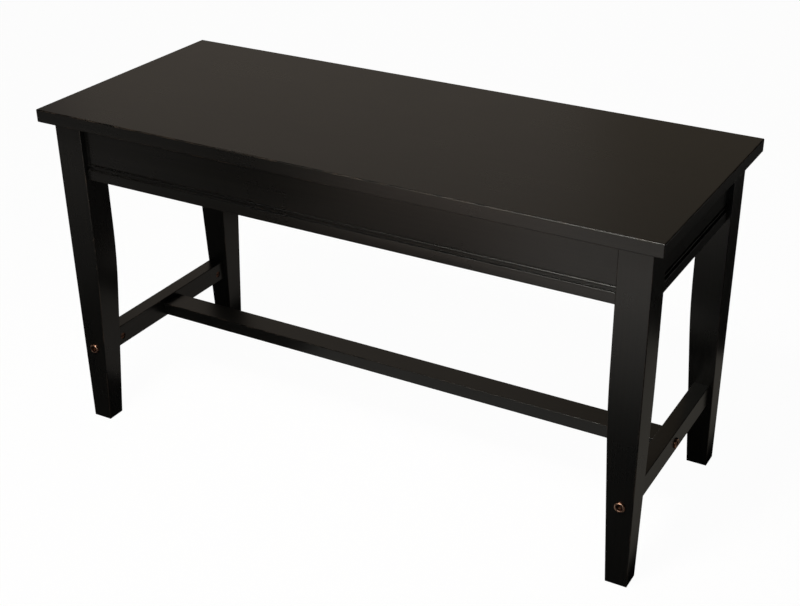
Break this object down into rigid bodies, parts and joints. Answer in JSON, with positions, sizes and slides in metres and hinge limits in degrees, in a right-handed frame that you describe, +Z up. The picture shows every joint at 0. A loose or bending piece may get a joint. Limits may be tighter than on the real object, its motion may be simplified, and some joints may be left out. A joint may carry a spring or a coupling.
{
  "type": "piano bench",
  "caption": "Long black wooden duet bench with a flat overhanging lid, moulded aprons, square legs tapering inwards and an H of stretchers, the lid hinged over a shallow music compartment.",
  "frame": {"origin": "on the floor, under the middle of the seat", "axes": "+Z up; +X along the length towards the end that is on the right when seen from the front; -Y towards the front, +Y towards the hinged rear edge"},
  "size_m": [0.914, 0.375, 0.4977],
  "materials": {
    "black_lacquer": "satin black lacquer over fine-grained hardwood",
    "bare_wood": "planed, unfinished hardwood",
    "floor_board": "thin smooth board, unfinished",
    "bronze": "copper-bronze plate, worn bright on the rim",
    "zinc_steel": "zinc plate, dull",
    "aged_brass": "brass plate, darkened with age",
    "clear_rubber": "soft dark pad"
  },
  "bodies": {
    "root": {"front_left_leg": "black_lacquer", "front_right_leg": "black_lacquer", "rear_right_leg": "black_lacquer", "rear_left_leg": "black_lacquer", "front_apron": "black_lacquer", "rear_apron": "black_lacquer", "left_apron": "black_lacquer", "right_apron": "black_lacquer", "left_side_stretcher": "black_lacquer", "right_side_stretcher": "black_lacquer", "centre_stretcher": "black_lacquer", "compartment_floor": "floor_board", "front_left_corner_block": "bare_wood", "front_left_hanger_bolt": "zinc_steel", "front_left_hanger_nut": "zinc_steel", "front_right_corner_block": "bare_wood", "front_right_hanger_bolt": "zinc_steel", "front_right_hanger_nut": "zinc_steel", "rear_right_corner_block": "bare_wood", "rear_right_hanger_bolt": "zinc_steel", "rear_right_hanger_nut": "zinc_steel", "rear_left_corner_block": "bare_wood", "rear_left_hanger_bolt": "zinc_steel", "rear_left_hanger_nut": "zinc_steel", "front_left_leg_bolt": "bronze", "front_left_barrel_nut": "bronze", "front_left_dowel": "bare_wood", "front_right_leg_bolt": "bronze", "front_right_barrel_nut": "bronze", "front_right_dowel": "bare_wood", "rear_right_leg_bolt": "bronze", "rear_right_barrel_nut": "bronze", "rear_right_dowel": "bare_wood", "rear_left_leg_bolt": "bronze", "rear_left_barrel_nut": "bronze", "rear_left_dowel": "bare_wood", "left_stretcher_bolt": "bronze", "left_stretcher_barrel_nut": "bronze", "left_stretcher_dowel": "bare_wood", "right_stretcher_bolt": "bronze", "right_stretcher_barrel_nut": "bronze", "right_stretcher_dowel": "bare_wood", "left_hinge_frame_leaf": "aged_brass", "left_hinge_pin": "aged_brass", "left_hinge_frame_screw_left": "zinc_steel", "left_hinge_frame_screw_right": "zinc_steel", "right_hinge_frame_leaf": "aged_brass", "right_hinge_pin": "aged_brass", "right_hinge_frame_screw_left": "zinc_steel", "right_hinge_frame_screw_right": "zinc_steel"},
    "lid": {"lid": "black_lacquer", "left_hinge_lid_leaf": "aged_brass", "left_hinge_lid_screw_left": "zinc_steel", "left_hinge_lid_screw_right": "zinc_steel", "left_lid_bumper": "clear_rubber", "right_hinge_lid_leaf": "aged_brass", "right_hinge_lid_screw_left": "zinc_steel", "right_hinge_lid_screw_right": "zinc_steel", "right_lid_bumper": "clear_rubber"}
  },
  "joints": [
    {"name": "lid_hinge", "type": "hinge", "parent": "root", "child": "lid", "pos_m": [0, 0.1705, 0.4747], "axis": [-1, 0, 0], "range_deg": [0, 95]}
  ]
}
